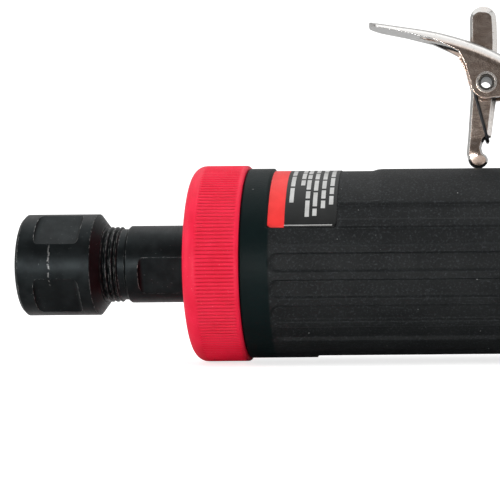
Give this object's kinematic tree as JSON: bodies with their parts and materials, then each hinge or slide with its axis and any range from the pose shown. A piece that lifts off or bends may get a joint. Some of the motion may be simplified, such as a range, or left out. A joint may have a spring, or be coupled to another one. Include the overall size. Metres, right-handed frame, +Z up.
{
  "type": "straight air die grinder",
  "caption": "Straight pneumatic die grinder with a collet nut, ribbed front ring, channelled rubber grip, safety throttle lever and turning exhaust deflector.",
  "frame": {"origin": "spindle axis at the collet nut's front face", "axes": "+X along the spindle from the collet to the air inlet, +Z up to the throttle lever, -Y towards the side the label is read from"},
  "size_m": [0.176, 0.0406, 0.0732],
  "materials": {
    "housing": "bead blasted",
    "rubber_grip": "matte grained",
    "label": "printed film",
    "red_ring": "satin, fine ribs",
    "steel_parts": "turned",
    "felt": "felt",
    "cast_plates": "ground",
    "cylinder_steel": "honed",
    "bearing_steel": "ground",
    "cage_plastic": "phenolic",
    "gasket": "pressed fibre",
    "brass_parts": "turned",
    "seals": "nitrile",
    "spring_steel": "drawn wire",
    "plated_steel": "satin nickel",
    "vane_composite": "laminated",
    "black_oxide": "black oxide",
    "nickel_plate": "polished nickel",
    "deflector_plastic": "moulded"
  },
  "bodies": {
    "tool_body": {"motor_housing": "housing", "grip_sleeve": "rubber_grip", "label": "label", "front_ring": "red_ring", "clamp_ring": "steel_parts", "front_seal": "felt", "front_end_plate": "cast_plates", "rear_end_plate": "cast_plates", "cylinder": "cylinder_steel", "cylinder_dowels": "steel_parts", "front_bearing_outer": "bearing_steel", "rear_bearing_outer": "bearing_steel", "rear_gasket": "gasket", "valve_bushing": "brass_parts", "valve_seat": "brass_parts", "stem_seal": "seals", "valve_cap": "brass_parts", "valve_cap_seal": "seals", "valve_spring": "spring_steel", "lever_pivot_pin": "steel_parts", "inlet_bushing": "plated_steel", "inlet_screen": "brass_parts", "muffler": "felt"},
    "rotor_assembly": {"rotor": "steel_parts", "rotor_vanes": "vane_composite", "collet_body": "black_oxide", "front_bearing_inner": "bearing_steel", "rear_bearing_inner": "bearing_steel"},
    "front_ball_set": {"front_bearing_balls": "bearing_steel", "front_bearing_cage": "cage_plastic"},
    "rear_ball_set": {"rear_bearing_balls": "bearing_steel", "rear_bearing_cage": "cage_plastic"},
    "collet": {"collet": "black_oxide"},
    "nut": {"collet_nut": "black_oxide"},
    "lever": {"throttle_lever": "nickel_plate", "lock_pin": "nickel_plate", "lock_spring": "spring_steel"},
    "lock": {"lock_lever": "nickel_plate"},
    "valve": {"throttle_stem": "steel_parts", "valve_poppet": "brass_parts", "poppet_seal": "seals"},
    "deflector": {"exhaust_deflector": "deflector_plastic"},
    "regulator_valve": {"regulator": "brass_parts", "regulator_seal": "seals"}
  },
  "joints": [
    {"name": "rotor_spin", "type": "hinge", "parent": "tool_body", "child": "rotor_assembly", "pos_m": [0, 0, 0], "axis": [1, 0, 0], "continuous": true},
    {"name": "front_balls_orbit", "type": "hinge", "parent": "tool_body", "child": "front_ball_set", "pos_m": [0.047, 0, 0], "axis": [1, 0, 0], "continuous": true},
    {"name": "rear_balls_orbit", "type": "hinge", "parent": "tool_body", "child": "rear_ball_set", "pos_m": [0.1025, 0, 0], "axis": [1, 0, 0], "continuous": true},
    {"name": "collet_release", "type": "slide", "parent": "rotor_assembly", "child": "collet", "axis": [-1, 0, 0], "range_m": [0, 0.00212]},
    {"name": "collet_nut_turn", "type": "hinge", "parent": "collet", "child": "nut", "pos_m": [0, 0, 0], "axis": [-1, 0, 0], "range_deg": [0, 720.5]},
    {"name": "lever_press", "type": "hinge", "parent": "tool_body", "child": "lever", "pos_m": [0.138, 0, 0.023], "axis": [0, -1, 0], "range_deg": [0, 12]},
    {"name": "lock_fold", "type": "hinge", "parent": "lever", "child": "lock", "pos_m": [0.09565, 0, 0.0367], "axis": [0, -1, 0], "range_deg": [0, 78], "deforming": ["lock_spring"]},
    {"name": "valve_push", "type": "slide", "parent": "tool_body", "child": "valve", "axis": [0, 0, -1], "range_m": [0, 0.0028], "deforming": ["valve_spring"]},
    {"name": "deflector_turn", "type": "hinge", "parent": "tool_body", "child": "deflector", "pos_m": [0.154, 0, 0], "axis": [1, 0, 0], "continuous": true},
    {"name": "regulator_turn", "type": "hinge", "parent": "tool_body", "child": "regulator_valve", "pos_m": [0.117, 0, 0], "axis": [0, 0, 1], "range_deg": [0, 90]}
  ],
  "couplings": [
    {"joint": "front_balls_orbit", "follows": "rotor_spin", "ratio": 0.36778},
    {"joint": "rear_balls_orbit", "follows": "rotor_spin", "ratio": 0.36767},
    {"joint": "collet_nut_turn", "follows": "collet_release", "rad_per_m": 5938.7},
    {"joint": "lock_fold", "follows": "lever_press", "ratio": 6.5},
    {"joint": "valve_push", "follows": "lever_press", "m_per_rad": 0.0129}
  ]
}
